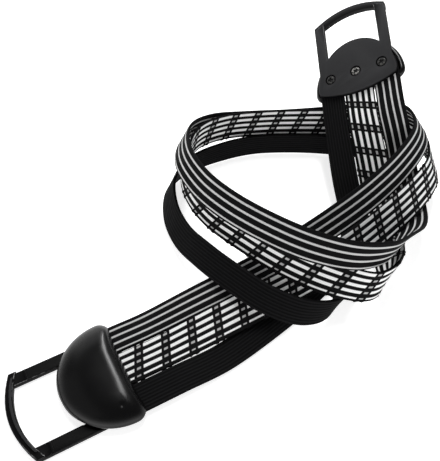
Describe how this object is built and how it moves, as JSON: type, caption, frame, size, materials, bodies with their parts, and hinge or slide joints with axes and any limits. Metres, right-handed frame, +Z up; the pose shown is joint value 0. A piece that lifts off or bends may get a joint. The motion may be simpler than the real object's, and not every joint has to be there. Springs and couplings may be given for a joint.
{
  "type": "elastic carrier strap",
  "caption": "Flat elastic carrier strap: woven bands side by side between two screwed, domed clamps, each with a moulded hook frame for a rack or luggage bar.",
  "frame": {"origin": "a point on the outer face of the first clamp's plate, between the screws and the hook loop, on the surface that the clamp lies on", "axes": "+X from the first clamp along its bands, +Y across the bands to the striped one, +Z up from the plate to its dome"},
  "size_m": [0.3629, 0.2121, 0.1001],
  "materials": {
    "hook_frame": "dark grey moulded plastic, fine matte grain",
    "dome_cover": "black moulded plastic, satin",
    "screw": "blackened steel with worn edges",
    "band_striped": "black woven elastic with four light lines",
    "band_dashed": "black woven elastic with rows of white dashes",
    "band_black": "black ribbed woven elastic"
  },
  "bodies": {
    "end_a": {"hook_frame_a": "hook_frame", "dome_cover_a": "dome_cover", "screw_a_1": "screw", "screw_a_2": "screw", "screw_a_3": "screw", "band_striped": "band_striped", "band_dashed": "band_dashed", "band_black": "band_black"},
    "end_b": {"hook_frame_b": "hook_frame", "dome_cover_b": "dome_cover", "screw_b_1": "screw", "screw_b_2": "screw", "screw_b_3": "screw"}
  },
  "joints": [
    {"name": "stretch", "type": "slide", "parent": "end_a", "child": "end_b", "axis": [0.3918, 0.8403, 0.3746], "range_m": [0, 0.09], "stiffness_N_per_m": 300, "deforming": ["band_striped", "band_dashed", "band_black"]}
  ]
}
